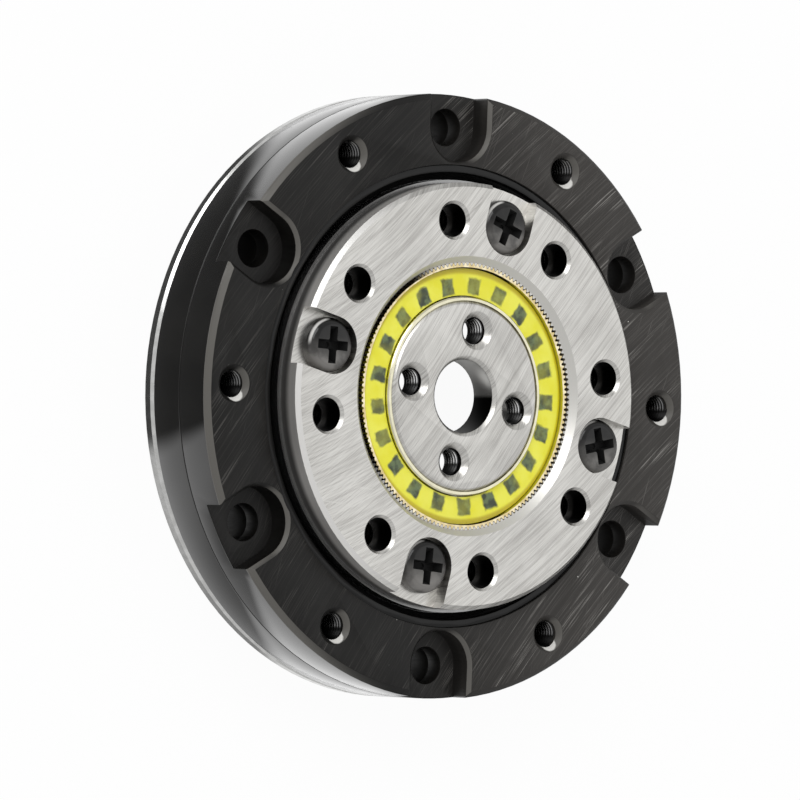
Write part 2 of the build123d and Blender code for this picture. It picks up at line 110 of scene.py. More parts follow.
# A node material with the principled shader, and a few shortcuts for adding nodes
class Shader:
    def __init__(self, name, **values):
        self.material = bpy.data.materials.new(name)
        self.material.use_nodes = True
        self.nodes = self.material.node_tree.nodes
        self.links = self.material.node_tree.links
        self.main = self.nodes["Principled BSDF"]
        for key, value in values.items():
            self.set(self.main, key, value)

    def set(self, node, key, value):
        socket = node.inputs[key.replace("_", " ") if isinstance(key, str) else key]
        if isinstance(value, bpy.types.NodeSocket):
            self.links.new(value, socket)
        else:
            socket.default_value = value

    def add(self, kind, inputs=(), output=0, **settings):
        node = self.nodes.new("ShaderNode" + kind)
        for key, value in settings.items():
            setattr(node, key, value)
        for key, value in dict(inputs).items():
            self.set(node, key, value)
        return node.outputs[output]

    def math(self, operation, *values, clamp=False):
        return self.add("Math", enumerate(values), operation=operation, use_clamp=clamp)

    def both(self, first, second):
        return self.math("MULTIPLY", first, second)

    def ramp(self, value, low, high, toLow=0.0, toHigh=1.0):
        inputs = {"Value": value, 1: low, 2: high, 3: toLow, 4: toHigh}
        return self.add("MapRange", inputs, interpolation_type="SMOOTHSTEP")

    def inside(self, value, limit, soft=0.04 * mm):
        return self.ramp(value, limit - soft, limit + soft, 1.0, 0.0)

    def mix(self, factor, first, second):
        inputs = {0: factor, 6: first, 7: second}
        return self.add("Mix", inputs, output=2, data_type="RGBA")

    def noise(self, scale, detail=3.0):
        return self.add("TexNoise", {"Vector": self.place(), "Scale": scale, "Detail": detail})

    def place(self):
        return self.add("TexCoord", output=3)

    def normal(self):
        return self.add("TexCoord", output=1)

    def split(self, vector):
        node = self.nodes.new("ShaderNodeSeparateXYZ")
        self.links.new(vector, node.inputs[0])
        return node.outputs

    def along(self, vector, direction):
        inputs = {0: vector, 1: direction}
        return self.add("VectorMath", inputs, output=1, operation="DOT_PRODUCT")

    def reach(self, direction):  # how far a point lies this way
        return self.along(self.place(), direction)

    def facing(self, direction):  # how far the surface is turned this way
        return self.along(self.normal(), direction)

    def away(self, first, second):
        squares = self.math("ADD", self.both(first, first), self.both(second, second))
        return self.math("SQRT", squares)

    def radius(self):
        x, y, z = self.split(self.place())
        return self.away(x, y)

    def height(self):
        return self.split(self.place())[2]

    def slope(self):  # 1 on level faces, 0 on upright walls
        return self.math("ABSOLUTE", self.split(self.normal())[2])

    def walls(self):
        return self.ramp(self.slope(), *slopeRanges["wall"])

    def level(self):
        return self.ramp(self.slope(), *slopeRanges["level"])

    def slanted(self, rising, falling):  # 1 on slanting faces, 0 on walls and level faces
        slope = self.slope()
        return self.both(self.ramp(slope, *rising), self.ramp(slope, *falling, 1.0, 0.0))

    def angle(self):
        x, y, z = self.split(self.place())
        return self.math("ARCTAN2", y, x)

    def steps(self, count, first):  # the angle counted in steps from the first place
        turned = self.math("SUBTRACT", self.angle(), math.radians(first))
        return self.math("DIVIDE", turned, 2 * math.pi / count)

    # Distances along and across from the nearest of the places set evenly on an oval
    def pattern(self, count, first, circle, oval):
        steps = self.steps(count, first)
        off = self.math("SUBTRACT", steps, self.math("ROUND", steps))
        off = self.math("MULTIPLY", off, 2 * math.pi / count)
        lobes = self.math("COSINE", self.math("MULTIPLY", self.angle(), 2.0))
        middle = self.math("ADD", self.math("MULTIPLY", lobes, oval), circle)
        return self.both(off, self.radius()), self.math("SUBTRACT", self.radius(), middle)

    # Offsets to the photograph's right and up from the nearest of the places on a circle
    def spot(self, count, first, circle):
        centre = self.math("ROUND", self.steps(count, first))
        centre = self.math("MULTIPLY", centre, 2 * math.pi / count)
        centre = self.math("ADD", centre, math.radians(first) - turn)
        right = self.math("MULTIPLY", self.math("COSINE", centre), circle)
        up = self.math("MULTIPLY", self.math("SINE", centre), circle)
        right = self.math("SUBTRACT", self.reach(photoRight), right)
        return right, self.math("SUBTRACT", self.reach(photoUp), up)

    # Noise drawn out into long arcs that run this way in the photograph, in degrees
    def arcs(self, direction, turned, bend, along, across, detail=4.0):
        side = math.radians(direction + turned + view["photoTurn"] - 90)
        centre = Vector((math.cos(side), math.sin(side), 0)) * bend
        place = self.add("VectorMath", {0: self.place(), 1: -centre}, operation="ADD")
        x, y, z = self.split(place)
        back = self.math("MULTIPLY", y, -1.0), self.math("MULTIPLY", x, -1.0)
        parts = {
            0: self.math("MULTIPLY", self.math("ARCTAN2", *back), bend * along),
            1: self.math("MULTIPLY", self.away(x, y), across),
            2: self.math("MULTIPLY", z, across * strokeNoise["heightShare"]),
        }
        inputs = {
            "Vector": self.add("CombineXYZ", parts),
            "Scale": 1.0,
            "Detail": detail,
            "Roughness": strokeNoise["roughness"],
        }
        return self.add("TexNoise", inputs)

    def coat(self, colour, rough):
        self.colour, self.rough = colour, rough
        self.set(self.main, "Base Color", colour)
        self.set(self.main, "Roughness", rough)

    def paint(self, mask, colour, rough):  # another colour and roughness where the mask is 1
        mixedRough = self.add("Mix", {0: mask, 2: self.rough, 3: rough})
        self.coat(self.mix(mask, self.colour, colour), mixedRough)

    def bump(self, height, strength, distance=0.02 * mm):
        inputs = {"Strength": strength, "Distance": distance, "Height": height}
        self.set(self.main, "Normal", self.add("Bump", inputs))


def grey(value):
    return (value, value, value, 1)


def tint(red, green, blue):
    return (red, green, blue, 1)


groundSteelLook = {
    "dark": (0.42, 0.41, 0.39, 1),
    "light": (0.7, 0.69, 0.66, 1),
    "streak": (0.3, 0.29, 0.27, 1),
    "broad": {"turned": 0, "bend": -34 * mm, "along": 130, "across": 8000},
    "fine": {"turned": 6, "bend": -68 * mm, "along": 390, "across": 26000, "detail": 6.0},
    "crossing": {"turned": -38, "bend": -102 * mm, "along": 260, "across": 8000, "detail": 2.0},
    "darker": {"turned": -3, "bend": -47.6 * mm, "along": 195, "across": 5600, "detail": 5.0},
    "cloudScale": 420.0,
    "cloudRange": (0.3, 0.7, -0.16, 0.16),
    "lightRange": (0.36, 0.62),
    "streakRange": (0.6, 0.76, 0.0, 0.8),
    "crossingRange": (0.7, 0.78, 0.0, 0.5),
    "roughRange": (0.3, 0.7, 0.25, 0.4),
    "bump": 0.18,
}
splineLook = {
    "direction": 35,
    "holeWall": 0.86 * mm,
    "holeShade": (0.02, 0.018, 0.016, 1),
    "holeRoughness": 0.3,
    "toothEnd": 6.42 * mm,
    "toothShade": (0.06, 0.05, 0.035, 1),
    "toothLitTan": (0.3, 0.26, 0.18, 1),
    "toothRoughness": 0.3,
    "toothLitReach": (0, 4 * mm),
    "sideRadii": (9.9 * mm, 9.96 * mm),
    "sideGrey": (0.85, 0.83, 0.8, 1),
    "sideFoot": (0.16, 0.155, 0.15, 1),
    "sideHeights": (5.35 * mm, 5.8 * mm),
    "sideRoughness": 0.55,
    "slants": ((0.5, 0.6), (0.86, 0.95)),
    "edgeShading": (0.74, 0.73, 0.71, 1),
    "edgeLitFacing": (0.2, 0.5),
    "edgeRoughness": 0.3,
    "lipEnd": 7.4 * mm,
    "lip": (0.68, 0.67, 0.64, 1),
    "lipRoughness": 0.42,
    "litPaintMetallic": 0.3,
}
# The gap between the teeth lies in deep shadow on the photograph's left
toothGap = {
    "reach": (3.2 * mm, 4.6 * mm),
    "from": (-0.958, 0.287, 0),
    "dark": (0.008, 0.006, 0.003, 1),
    "roughness": 0.4,
}
plugLook = {
    "boreWall": 1.82 * mm,
    "boreShade": (0.01, 0.01, 0.01, 1),
    "boreReflection": (0.8, 0.79, 0.76, 1),
    "boreReach": (-0.12 * mm, 0.12 * mm),
    "boreRoughness": 0.3,
    "direction": 50,
    "holeWall": 0.74 * mm,
    "holeShade": (0.03, 0.03, 0.028, 1),
    "holeRoughness": 0.25,
}
blackOxideLook = {
    "index": 1.32,
    "rimGloss": 2.0,
    "dark": (0.0035, 0.0032, 0.0028, 1),
    "light": (0.008, 0.0075, 0.0068, 1),
    "lightScale": 300.0,
    "lightRange": (0.35, 0.7),
    # Painted sheen colour that makes the right half of the face paler
    "wearAndSheen": (0.038, 0.035, 0.032, 1),
    "sheenReach": (-4 * mm, 8 * mm),
    "scratch": (0.1, 0.094, 0.088, 1),
    "cluster": (0.26, 0.25, 0.235, 1),
    "leftShare": 0.22,
    "floorShare": 0.4,
    "floorHeights": (4.2 * mm, 4.6 * mm),
    "direction": 45,
    "fine": {"turned": 0, "bend": 90 * mm, "along": 160, "across": 21000, "detail": 6.0},
    "second": {"turned": 25, "bend": 140 * mm, "along": 240, "across": 12000, "detail": 3.0},
    "clusters": {"turned": -4, "bend": 120 * mm, "along": 300, "across": 1500, "detail": 2.0},
    "fineRange": (0.48, 0.72),
    "secondRange": (0.6, 0.72),
    "clusterRange": (0.5, 0.66),
    "clusterLines": (0.52, 0.66),
    "nickAndGlint": (0.7, 0.69, 0.66, 1),
    "nickScale": 5200.0,
    "nickDetail": 1.0,
    "nickRange": (0.83, 0.85),
    "chamfer": (0.11, 0.105, 0.096, 1),
    "chamferHeights": (4.6 * mm, 4.65 * mm),
    "chamferFacing": (0.15, 0.5),
    "slants": ((0.3, 0.5), (0.86, 0.97)),
    "holeEdge": 0.95 * mm,
    "glintFrom": (-0.35, 0.94, 0),
    "glintFacing": (0.6, 0.66),
    "glintRoughness": 0.2,
    "roughRange": (0.35, 0.7, 0.32, 0.48),
    "rimRadii": (outerRadius - 0.1 * mm, outerRadius - 0.03 * mm),
    "rimRoughness": 0.1,
    "bump": 0.16,
}
springSteelLook = {
    "steelDark": (0.58, 0.58, 0.57, 1),
    "steelPale": (0.7, 0.7, 0.69, 1),
    "gold": (0.66, 0.53, 0.27, 1),
    "cream": (0.92, 0.83, 0.6, 1),
    "marksScale": 2600.0,
    "marksRange": (0.35, 0.7),
    # Painted reflection colour for the rim's inner wall, yellow like the cage beside it
    "wall": (0.62, 0.57, 0.04, 1),
    "wallRadius": 6.13 * mm,
    "wallSoft": 0.01 * mm,
    "wallRoughness": 0.15,
    "wallMetallic": 0.3,
    "flankShade": (0.05, 0.036, 0.015, 1),
    "flankRoughness": 0.35,
    "toothRadii": (6.17 * mm, 6.19 * mm),
    "rimRadius": 6.8 * mm,
    "rimHeights": (3.6 * mm, 4.2 * mm),
    "roughScale": 3000.0,
    "roughRange": (0.3, 0.7, 0.18, 0.28),
}
cageLook = {
    "yellow": (0.84, 0.8, 0.02, 1),
    "pale": (0.9, 0.88, 0.09, 1),
    "paleScale": 900.0,
    "paleRange": (0.3, 0.7),
    "edgeShading": (0.6, 0.5, 0.01, 1),
    "edgeShadowRadii": (5.78 * mm, 5.95 * mm),
    "patch": (0.035, 0.05, 0.025, 1),
    "patchPale": (0.13, 0.18, 0.08, 1),
    "patchScale": 2500.0,
    "patchRange": (0.4, 0.65),
    "strengthScale": 700.0,
    "strengthRange": (0.3, 0.6, 0.75, 1.0),
    "roughness": 0.25,
    "glow": 0.4,
    "glowRadius": (0.5 * mm, 0.5 * mm, 0.1 * mm),
    "balls": {"count": 21, "first": 3.6, "circle": 5.2 * mm, "oval": 0.08 * mm},
    "halfAlong": 0.36 * mm,
    "halfAcross": 0.39 * mm,
    "corner": 0.3,
    "soft": 0.18,
    "wobble": 0.9,
    "wobbleScale": 1900.0,
}
plainLooks = {
    "metal": {"scale": 1800.0, "paler": 1.15, "range": (0.3, 0.75)},
    "solid": {"scale": 1500.0, "paler": 1.25, "range": (0.3, 0.75)},
}
screwBlackLook = {
    "index": 1.42,
    "black": (0.003, 0.003, 0.003, 1),
    "wearAndSheen": (0.01, 0.0095, 0.009, 1),
    "marksScale": 2200.0,
    "marksRange": (0.3, 0.75),
    "roughRange": (0.11, 0.2),
    "low": (0.19, 0.182, 0.172, 1),
    "lowLightReach": (-0.9 * mm, 0.5 * mm, 1.0, 0.0),
    "lowSheenScale": 1300.0,
    "lowSheenRange": (0.3, 0.6, 0.4, 1.0),
    "rim": (0.6, 0.59, 0.57, 1),
    "highlightStart": (1.16 * mm, 1.21 * mm),
    "highlightStop": (1.24 * mm, 1.29 * mm, 1.0, 0.0),
    "highlightReach": (0.85 * mm, 1.1 * mm),
    "highlightDiagonal": 0.707,
    "rimRoughness": 0.2,
    "recess": (0.0008, 0.0008, 0.0008, 1),
    "recessRadius": 0.98 * mm,
    "recessTop": splineTop.z - 0.065 * mm,
    "recessSoft": 0.01 * mm,
    "recessRoughness": 0.8,
}


# Ground face: fine bent strokes, a few darker ones, and faint crossing scratches
def groundSteel(name, direction):
    look = groundSteelLook
    steel = Shader(name, Metallic=1.0)
    broad = steel.arcs(direction, **look["broad"])
    fine = steel.arcs(direction, **look["fine"])
    crossing = steel.arcs(direction, **look["crossing"])
    darker = steel.arcs(direction, **look["darker"])
    mixed = steel.math("MULTIPLY", steel.math("ADD", broad, fine), 0.5)
    cloud = steel.ramp(steel.noise(look["cloudScale"]), *look["cloudRange"])
    share = steel.math("ADD", steel.ramp(mixed, *look["lightRange"]), cloud, clamp=True)
    colour = steel.mix(share, look["dark"], look["light"])
    colour = steel.mix(steel.ramp(darker, *look["streakRange"]), colour, look["streak"])
    colour = steel.mix(steel.ramp(crossing, *look["crossingRange"]), colour, look["light"])
    steel.coat(colour, steel.ramp(mixed, *look["roughRange"]))
    steel.bump(steel.both(mixed, steel.level()), look["bump"])
    return steel


def shadeGap(steel, teeth):
    left = steel.ramp(steel.reach(towards(*toothGap["from"])), *toothGap["reach"])
    steel.paint(steel.both(teeth, left), toothGap["dark"], toothGap["roughness"])


# Bright output ring: painted shade on the hole walls, tooth walls painted dark shading to a lit
# tan towards the right, a duller turned side that darkens towards its foot, and a painted
# highlight on the outer edge where it faces left
def splineSteel():
    look = splineLook
    steel = groundSteel("splineSteel", look["direction"])
    away = steel.away(*steel.spot(**holeSets["output"]))
    holeWall = steel.both(steel.inside(away, look["holeWall"]), steel.walls())
    teeth = steel.inside(steel.radius(), look["toothEnd"])
    toothWall = steel.both(teeth, steel.walls())
    side = steel.ramp(steel.radius(), *look["sideRadii"])
    slanted = steel.slanted(*look["slants"])
    lip = steel.both(steel.inside(steel.radius(), look["lipEnd"]), slanted)
    # Painted highlight: the outer edge chamfer is painted pale where it faces left
    left = steel.ramp(steel.facing(-photoRight), *look["edgeLitFacing"])
    edgeShading = steel.both(steel.both(side, slanted), left)
    # Painted shade and light: the tooth walls are painted dark, turning to a lit tan towards the
    # right
    toothLit = steel.ramp(steel.reach(photoRight), *look["toothLitReach"])
    toothColour = steel.mix(toothLit, look["toothShade"], look["toothLitTan"])
    upper = steel.ramp(steel.height(), *look["sideHeights"])
    sideColour = steel.mix(upper, look["sideFoot"], look["sideGrey"])
    # Painted shade: the walls of the output holes are painted nearly black
    steel.paint(holeWall, look["holeShade"], look["holeRoughness"])
    steel.paint(lip, look["lip"], look["lipRoughness"])
    steel.paint(toothWall, toothColour, look["toothRoughness"])
    shadeGap(steel, teeth)
    steel.paint(steel.both(side, steel.walls()), sideColour, look["sideRoughness"])
    steel.paint(edgeShading, look["edgeShading"], look["edgeRoughness"])
    # The painted highlight and the lit tan teeth are made less metallic so their painted colour
    # shows
    litPaint = steel.math("MAXIMUM", edgeShading, steel.both(toothWall, toothLit))
    steel.set(steel.main, "Metallic", steel.ramp(litPaint, 0.0, 1.0, 1.0, look["litPaintMetallic"]))
    return steel


# Plug: a painted reflection on the bore's wall, pale like the bright room in its upper half and
# dark like the shaft below, and painted shade on the hole walls
def plugSteel():
    look = plugLook
    steel = groundSteel("plugSteel", look["direction"])
    away = steel.away(*steel.spot(**holeSets["plug"]))
    holeWall = steel.both(steel.inside(away, look["holeWall"]), steel.walls())
    boreWall = steel.both(steel.inside(steel.radius(), look["boreWall"]), steel.walls())
    # Painted reflection and shade: the bore's wall is pale grey in its upper half and dark below
    upper = steel.ramp(steel.reach(photoUp), *look["boreReach"])
    boreColour = steel.mix(upper, look["boreShade"], look["boreReflection"])
    # Painted shade: the walls of the plug's holes are painted nearly black
    steel.paint(holeWall, look["holeShade"], look["holeRoughness"])
    steel.paint(boreWall, boreColour, look["boreRoughness"])
    return steel


# Black steel: satin scratched faces, a painted sheen that makes the right half paler, painted
# highlights on the thin chamfers that face left, painted glints on the tapped holes' chamfers,
# and a smooth rim
def blackOxide(name):
    look = blackOxideLook
    coat = {"Coat_IOR": look["rimGloss"], "Coat_Roughness": look["rimRoughness"]}
    black = Shader(name, IOR=look["index"], **coat)
    fine = black.arcs(look["direction"], **look["fine"])
    second = black.arcs(look["direction"], **look["second"])
    clusters = black.arcs(look["direction"], **look["clusters"])
    rim = black.ramp(black.radius(), *look["rimRadii"])
    face = black.math("SUBTRACT", 1.0, rim)
    # Painted sheen: the face is painted paler towards the right, and less so on the notch floors
    right = black.ramp(black.reach(photoRight), *look["sheenReach"])
    top = black.ramp(black.height(), *look["floorHeights"], look["floorShare"])
    wearAndSheen = black.both(black.both(right, top), face)
    light = black.ramp(black.noise(look["lightScale"]), *look["lightRange"])
    colour = black.mix(wearAndSheen, black.mix(light, look["dark"], look["light"]), look["wearAndSheen"])
    # The scratches and pale clusters are painted fainter towards the left, along with the painted
    # sheen
    shown = black.ramp(right, 0.0, 1.0, look["leftShare"], 1.0)
    shown = black.both(black.both(face, black.level()), shown)
    lines = black.ramp(fine, *look["fineRange"])
    lines = black.math("MAXIMUM", lines, black.ramp(second, *look["secondRange"]))
    colour = black.mix(black.both(lines, shown), colour, look["scratch"])
    pale = black.both(black.ramp(fine, *look["clusterLines"]), shown)
    pale = black.both(black.ramp(clusters, *look["clusterRange"]), pale)
    colour = black.mix(pale, colour, look["cluster"])
    nicks = black.ramp(black.noise(look["nickScale"], look["nickDetail"]), *look["nickRange"])
    colour = black.mix(black.both(nicks, face), colour, look["nickAndGlint"])
    # Painted highlight: the chamfers that face left are painted pale
    slanted = black.slanted(*look["slants"])
    slanted = black.both(slanted, black.ramp(black.height(), *look["chamferHeights"]))
    left = black.ramp(black.facing(-photoRight), *look["chamferFacing"])
    colour = black.mix(black.both(slanted, left), colour, look["chamfer"])
    # Painted glints: the lower right chamfers of the tapped holes take the pale nick colour
    tapped = black.inside(black.away(*black.spot(**holeSets["ring"])), look["holeEdge"])
    lit = black.ramp(black.facing(towards(*look["glintFrom"])), *look["glintFacing"])
    glint = black.both(black.both(slanted, tapped), lit)
    black.coat(colour, black.ramp(fine, *look["roughRange"]))
    black.paint(rim, colour, look["rimRoughness"])
    black.set(black.main, "Coat Weight", black.both(rim, black.walls()))
    black.paint(glint, look["nickAndGlint"], look["glintRoughness"])
    black.bump(black.both(fine, face), look["bump"])
    return black


# Flange and barrel of bright steel, cream gold rim, a painted yellow reflection of the cage on
# the rim's inner wall, and painted shade on the tooth flanks and in the tooth gap on the left
def springSteel():
    look = springSteelLook
    steel = Shader("springSteel", Metallic=1.0)
    rim = steel.ramp(steel.height(), *look["rimHeights"])
    rim = steel.both(steel.inside(steel.radius(), look["rimRadius"]), rim)
    wall = steel.inside(steel.radius(), look["wallRadius"], look["wallSoft"])
    wall = steel.both(rim, steel.both(wall, steel.walls()))
    teeth = steel.both(rim, steel.ramp(steel.radius(), *look["toothRadii"]))
    marks = steel.ramp(steel.noise(look["marksScale"]), *look["marksRange"])
    plain = steel.mix(marks, look["steelDark"], look["steelPale"])
    warm = steel.mix(marks, look["gold"], look["cream"])
    rough = steel.ramp(steel.noise(look["roughScale"]), *look["roughRange"])
    steel.coat(steel.mix(rim, plain, warm), rough)
    # Painted shade: the tooth flanks of the rim are painted nearly black
    steel.paint(steel.both(rim, steel.walls()), look["flankShade"], look["flankRoughness"])
    shadeGap(steel, teeth)
    # Painted reflection: the rim's inner wall is painted yellow like the cage beside it and made
    # less metallic
    steel.paint(wall, look["wall"], look["wallRoughness"])
    steel.set(steel.main, "Metallic", steel.ramp(wall, 0.0, 1.0, 1.0, look["wallMetallic"]))
    return steel


# Clear yellow plastic with the balls showing through it as soft dark patches, and a painted
# shadow along its outer edge
def cageYellow():
    look = cageLook
    cage = Shader("cageYellow", Roughness=look["roughness"], Subsurface_Weight=look["glow"])
    cage.set(cage.main, "Subsurface Radius", look["glowRadius"])
    along, across = cage.pattern(**look["balls"])
    along = cage.math("ABSOLUTE", cage.math("DIVIDE", along, look["halfAlong"]))
    across = cage.math("ABSOLUTE", cage.math("DIVIDE", across, look["halfAcross"]))
    away = cage.math("SMOOTH_MAX", along, across, look["corner"])
    wobble = cage.math("SUBTRACT", cage.noise(look["wobbleScale"]), 0.5)
    wobble = cage.math("MULTIPLY", wobble, look["wobble"])
    patch = cage.inside(cage.math("ADD", away, wobble), 1.0, look["soft"])
    strength = cage.ramp(cage.noise(look["strengthScale"]), *look["strengthRange"])
    pale = cage.ramp(cage.noise(look["paleScale"]), *look["paleRange"])
    # Painted shadow: a darker olive band along the cage's outer edge
    edgeShading = cage.ramp(cage.radius(), *look["edgeShadowRadii"])
    plain = cage.mix(edgeShading, cage.mix(pale, look["yellow"], look["pale"]), look["edgeShading"])
    patchPale = cage.ramp(cage.noise(look["patchScale"]), *look["patchRange"])
    patchColour = cage.mix(patchPale, look["patch"], look["patchPale"])
    cage.set(cage.main, "Base Color", cage.mix(cage.both(patch, strength), plain, patchColour))
    return cage


# One colour with slightly paler marks
def plain(look, name, colour, roughness, **values):
    shader = Shader(name, Roughness=roughness, **values)
    marks = shader.ramp(shader.noise(look["scale"]), *look["range"])
    paler = tuple(min(channel * look["paler"], 1.0) for channel in colour[:3]) + (1,)
    shader.set(shader.main, "Base Color", shader.mix(marks, colour, paler))
    return shader


def plainMetal(name, colour, roughness):
    return plain(plainLooks["metal"], name, colour, roughness, Metallic=1.0)


def plainSolid(name, colour, roughness, **values):
    return plain(plainLooks["solid"], name, colour, roughness, **values)


# Glossy black screws: a cross recess painted dark as shade, a painted reflection making the lower
# half paler, and a painted highlight on the upper left rim
def screwBlack():
    look = screwBlackLook
    black = Shader("screwBlack", IOR=look["index"])
    right, up = black.spot(**holeSets["screws"])
    away = black.away(right, up)
    marks = black.ramp(black.noise(look["marksScale"]), *look["marksRange"])
    # Painted reflection: the lower half of each head is painted paler, in blotches
    low = black.ramp(black.noise(look["lowSheenScale"]), *look["lowSheenRange"])
    low = black.both(black.ramp(up, *look["lowLightReach"]), low)
    colour = black.mix(low, black.mix(marks, look["black"], look["wearAndSheen"]), look["low"])
    # Painted highlight: a pale crescent on the upper left of each head's rim
    rim = black.both(black.ramp(away, *look["highlightStart"]), black.ramp(away, *look["highlightStop"]))
    upLeft = black.math("MULTIPLY", black.math("SUBTRACT", up, right), look["highlightDiagonal"])
    rim = black.both(rim, black.ramp(upLeft, *look["highlightReach"]))
    # Painted shade: the cross recess is painted nearly black and matt
    recess = black.inside(black.height(), look["recessTop"], look["recessSoft"])
    recess = black.both(black.inside(away, look["recessRadius"]), recess)
    black.coat(colour, black.ramp(marks, 0.0, 1.0, *look["roughRange"]))
    black.paint(rim, look["rim"], look["rimRoughness"])
    black.paint(recess, look["recess"], look["recessRoughness"])
    return black


looks = {
    "circular_spline": splineSteel(),
    "wave_generator_plug": plugSteel(),
    "outer_ring_front": blackOxide("ringBlack"),
    "outer_ring_rear": blackOxide("ringRearBlack"),
    "flexspline": springSteel(),
    "bearing_inner_ring": plainMetal("innerRingSteel", grey(0.3), 0.25),
    "rollers_leaning_out": plainMetal("rollerSteel", grey(0.6), 0.12),
    "rollers_leaning_in": plainMetal("crossRollerSteel", grey(0.6), 0.12),
    "roller_spacers": plainSolid("spacerPlastic", tint(0.75, 0.74, 0.68), 0.4),
    "front_seal": plainSolid("sealRubber", grey(0.004), 0.2, IOR=1.35),
    "rear_seal": plainSolid("rearSealRubber", grey(0.004), 0.2, IOR=1.35),
    "flange_o_ring": plainSolid("flangeCordRubber", grey(0.014), 0.3),
    "spline_o_ring": plainSolid("splineCordRubber", grey(0.014), 0.3),
    "spline_screws": screwBlack(),
    "flange_screws": plainSolid("flangeScrewBlack", grey(0.016), 0.3),
    "ring_dowels": plainMetal("dowelSteel", grey(0.6), 0.15),
    "wave_bearing_inner_race": plainMetal("innerRaceSteel", tint(0.7, 0.67, 0.5), 0.2),
    # Painted light: the steel outer race is painted yellow as if lit by the cage
    "wave_bearing_outer_race": plainSolid("outerRaceYellowLit", tint(0.5, 0.44, 0.06), 0.2),
    "wave_balls": plainMetal("ballSteel", grey(0.5), 0.06),
    "ball_cage": cageYellow(),
}
for name, look in looks.items():
    node = frame["nodes"][name]
    node.data.materials.clear()
    node.data.materials.append(look.material)
print("Materials set")

record = frame["record"]
bodies = record["behaviour"]["bodies"]
bodyOf = {node: body for body, nodes in bodies.items() for node in nodes}


def activate(piece):
    bpy.ops.object.select_all(action="DESELECT")
    piece.select_set(True)
    bpy.context.view_layer.objects.active = piece


def editAll(piece):
    activate(piece)
    bpy.ops.object.mode_set(mode="EDIT")
    bpy.ops.mesh.select_all(action="SELECT")


def applyModifier(piece, name, kind, **settings):
    activate(piece)
    modifier = piece.modifiers.new(name, kind)
    for key, value in settings.items():
        setattr(modifier, key, value)
    bpy.ops.object.modifier_apply(modifier=name)


def takeLook(piece, shader):
    piece.data.materials.clear()
    piece.data.materials.append(shader.material)


dressing = {
    "mergeDistance": 0.001 * mm,
    "flatAngle": math.radians(0.4),
    "smoothAngle": math.radians(32),
    "segments": 2,
}
edgeRounds = {
    "outer_ring_front": 0.03 * mm,
    "outer_ring_rear": 0.02 * mm,
    "wave_generator_plug": 0.02 * mm,
    "front_seal": 0.04 * mm,
    "circular_spline": 0,
    "flexspline": 0,
    "wave_bearing_inner_race": 0,
    "wave_bearing_outer_race": 0,
}


# Copy of a solid with merged faces, smooth shading and, where it has a width, rounded edges
def dress(name, width):
    node = frame["nodes"][name]
    piece = node.copy()
    piece.data = node.data.copy()
    piece.name = name + "_dressed"
    piece.parent = None
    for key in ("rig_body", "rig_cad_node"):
        del piece[key]
    bpy.context.scene.collection.objects.link(piece)
    editAll(piece)
    bpy.ops.mesh.customdata_custom_splitnormals_clear()
    bpy.ops.mesh.remove_doubles(threshold=dressing["mergeDistance"])
    bpy.ops.mesh.dissolve_limited(angle_limit=dressing["flatAngle"])
    bpy.ops.object.mode_set(mode="OBJECT")
    if width:
        applyModifier(
            piece, "edges", "BEVEL", width=width, segments=dressing["segments"],
            angle_limit=dressing["smoothAngle"],
        )
    activate(piece)
    bpy.ops.object.shade_smooth_by_angle(angle=dressing["smoothAngle"])
    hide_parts(name)
    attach(piece, bodyOf[name])


for name, width in edgeRounds.items():
    dress(name, width)
print("Solids dressed")

# A sharp ridge wound up the wall of one hole, and copied to the others on its circle
threadShape = {
    "pitch": 0.2 * mm,
    "depth": 0.07 * mm,
    "halfWidth": 0.08 * mm,
    "sink": 0.01 * mm,
    "wall": 0.65 * mm,
    "steps": 28,
}
threadLook = {
    "crest": 0.615 * mm,
    "crestSoft": 0.012 * mm,
    "valleyShare": 0.12,
    "roughScale": 2500.0,
    "roughRange": (0.3, 0.7, 0.16, 0.26),
    "lowerFacing": (-0.05, 0.15),
    "lowerShare": 0.04,
    "lowerRoughness": 0.3,
}


# Threads shine on their crests in the upper half of a hole and lie in shadow in the lower half
def threadMetal(name, colour, holes):
    look = threadLook
    metal = Shader(name, Metallic=1.0)
    away = metal.away(*metal.spot(**holes))
    crest = metal.inside(away, look["crest"], look["crestSoft"])
    lower = metal.ramp(metal.facing(photoUp), *look["lowerFacing"])
    rough = metal.ramp(metal.noise(look["roughScale"]), *look["roughRange"])
    # Painted shade: away from the crests the thread is painted nearly black
    valley = metal.mix(look["valleyShare"], grey(0.0), colour)
    metal.coat(metal.mix(crest, valley, colour), rough)
    shadow = metal.mix(look["lowerShare"], grey(0.0), colour)
    metal.paint(lower, shadow, look["lowerRoughness"])
    return metal


threadSets = {
    "ringThread": {
        "node": "outer_ring_front", "holes": holeSets["ring"], "low": 2.95 * mm, "turns": 9,
        "look": threadMetal("ringThreadDark", grey(0.25), holeSets["ring"]),
    },
    "outputThread": {
        "node": "bearing_inner_ring", "holes": holeSets["output"], "low": 2.6 * mm, "turns": 11,
        "look": threadMetal("outputThreadDark", grey(0.18), holeSets["output"]),
    },
    "plugThread": {
        "node": "wave_generator_plug", "holes": holeSets["plug"], "low": 4.7 * mm, "turns": 5,
        "look": threadMetal("plugThreadSteel", grey(1.0), holeSets["plug"]),
    },
}


